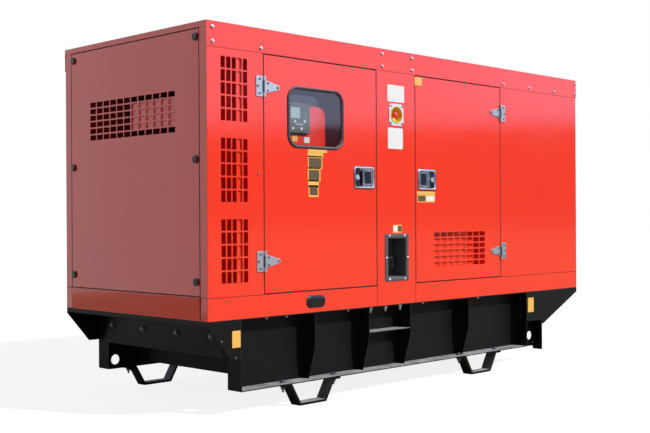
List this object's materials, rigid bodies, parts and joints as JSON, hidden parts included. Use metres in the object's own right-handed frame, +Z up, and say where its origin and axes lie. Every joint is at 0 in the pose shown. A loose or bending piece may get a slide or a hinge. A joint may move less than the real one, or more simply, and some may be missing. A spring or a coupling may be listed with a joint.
{
  "type": "canopied diesel generator",
  "caption": "Diesel generator in a red sheet-steel canopy with hinged doors, window, vents and emergency stop, on a black folded base frame with bent feet.",
  "frame": {"origin": "on the floor, under the middle of the whole set", "axes": "+X along the length from the vented end to the plain end, -Y out of the side with the window and emergency stop, +Z up"},
  "size_m": [2.996, 1.158, 1.734],
  "materials": {
    "red_paint": "glossy powder coat, slightly orange-peeled",
    "black_paint": "satin black chassis paint",
    "black_plastic": "moulded black plastic",
    "zinc": "zinc-plated cast hinge, satin",
    "chrome": "polished chromed casting",
    "rubber": "extruded black rubber seal",
    "glass": "clear safety glass",
    "controller_case": "dark grey moulded case",
    "yellow_plastic": "yellow moulded cup",
    "red_plastic": "red moulded mushroom head",
    "grey_paint": "grey painted steel box",
    "alternator_paint": "dark grey machine enamel",
    "engine_paint": "grey engine enamel on cast iron",
    "radiator_core": "matt black radiator enamel"
  },
  "bodies": {
    "canopy_and_base": {"base_beam_front": "black_paint", "base_beam_rear": "black_paint", "base_end_left": "black_paint", "base_end_right": "black_paint", "fuel_tank": "black_paint", "feet": "black_paint", "sills": "red_paint", "vent_panel_front": "red_paint", "vent_panel_rear": "red_paint", "centre_post_front": "red_paint", "centre_post_rear": "red_paint", "fixed_panel_front": "red_paint", "fixed_panel_rear": "red_paint", "door_frames": "red_paint", "end_frame_left": "red_paint", "end_frame_right": "red_paint", "end_panel_left": "red_paint", "end_panel_right": "red_paint", "end_knobs": "black_plastic", "roof": "red_paint", "rear_doors": "red_paint", "hinge_leaves": "zinc", "rear_door_fittings": "chrome", "control_cabinet": "red_paint", "controller": "controller_case", "stop_cup": "yellow_plastic", "filler_recess": "grey_paint", "filler_cap": "black_plastic", "sill_plug": "black_plastic", "vent_baffles": "red_paint", "alternator": "alternator_paint", "engine": "engine_paint", "radiator": "radiator_core"},
    "left_door": {"door_left": "red_paint", "hinge_arms_left": "zinc", "window_seal": "rubber", "window_glass": "glass", "latch_dish_left": "chrome"},
    "right_door": {"door_right": "red_paint", "hinge_arms_right": "zinc", "latch_dish_right": "chrome", "door_vent_duct": "red_paint"},
    "left_paddle": {"latch_handle_left": "chrome"},
    "right_paddle": {"latch_handle_right": "chrome"},
    "stop_head": {"stop_button": "red_plastic"}
  },
  "joints": [
    {"name": "left_door_hinge", "type": "hinge", "parent": "canopy_and_base", "child": "left_door", "pos_m": [-1.1525, -0.572, 0.434], "axis": [0, 0, -1], "range_deg": [0, 105]},
    {"name": "right_door_hinge", "type": "hinge", "parent": "canopy_and_base", "child": "right_door", "pos_m": [0.6685, -0.572, 0.434], "axis": [0, 0, 1], "range_deg": [0, 105]},
    {"name": "left_paddle_hinge", "type": "hinge", "parent": "left_door", "child": "left_paddle", "pos_m": [-0.433, -0.56, 1.078], "axis": [0, 0, 1], "range_deg": [0, 40], "stiffness_Nm_per_rad": 0.3},
    {"name": "right_paddle_hinge", "type": "hinge", "parent": "right_door", "child": "right_paddle", "pos_m": [-0.051, -0.56, 1.078], "axis": [0, 0, -1], "range_deg": [0, 40], "stiffness_Nm_per_rad": 0.3},
    {"name": "stop_push", "type": "slide", "parent": "canopy_and_base", "child": "stop_head", "axis": [0, 1, 0], "range_m": [0, 0.006]}
  ]
}
